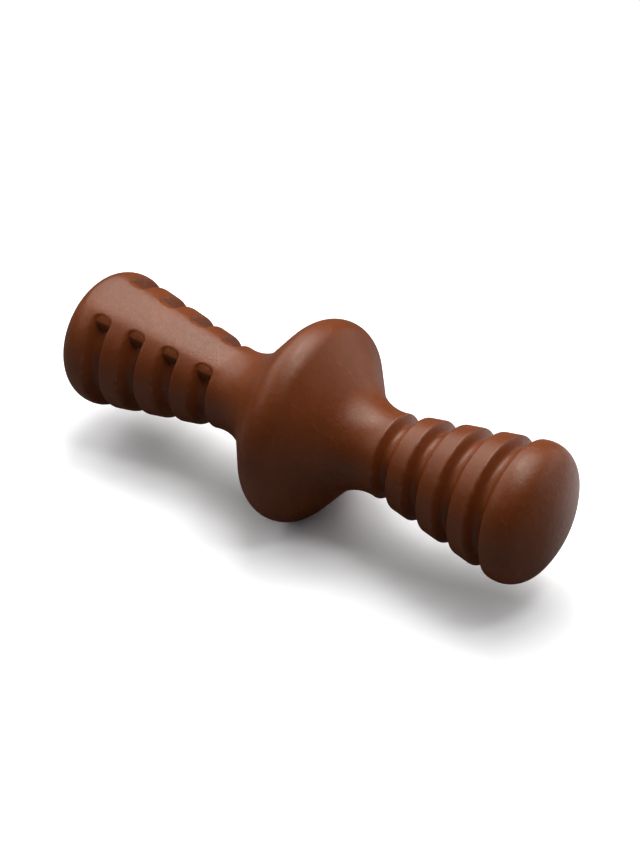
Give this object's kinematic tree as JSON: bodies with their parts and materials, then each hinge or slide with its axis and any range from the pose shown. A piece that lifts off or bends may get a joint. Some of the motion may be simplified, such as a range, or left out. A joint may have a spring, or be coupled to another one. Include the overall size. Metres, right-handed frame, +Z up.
{
  "type": "dog chew toy",
  "caption": "Moulded chew toy with a round centre bumper, waisted necks and flared grips with grooves round them, for a dog to hold and gnaw.",
  "frame": {"origin": "the lowest point of the centre bumper, under the middle of the toy, where it touches the surface it lies on", "axes": "+X along the toy towards the right end, +Z up, with the left grip's flat land near the top"},
  "size_m": [0.1852, 0.068, 0.068],
  "materials": {
    "nylon": "satin, milk-chocolate brown, lightly pebbled"
  },
  "bodies": {
    "root": {"centre_bumper": "nylon", "left_neck": "nylon", "left_grip": "nylon", "left_end": "nylon", "right_neck": "nylon", "right_grip": "nylon", "right_end": "nylon"}
  },
  "joints": []
}
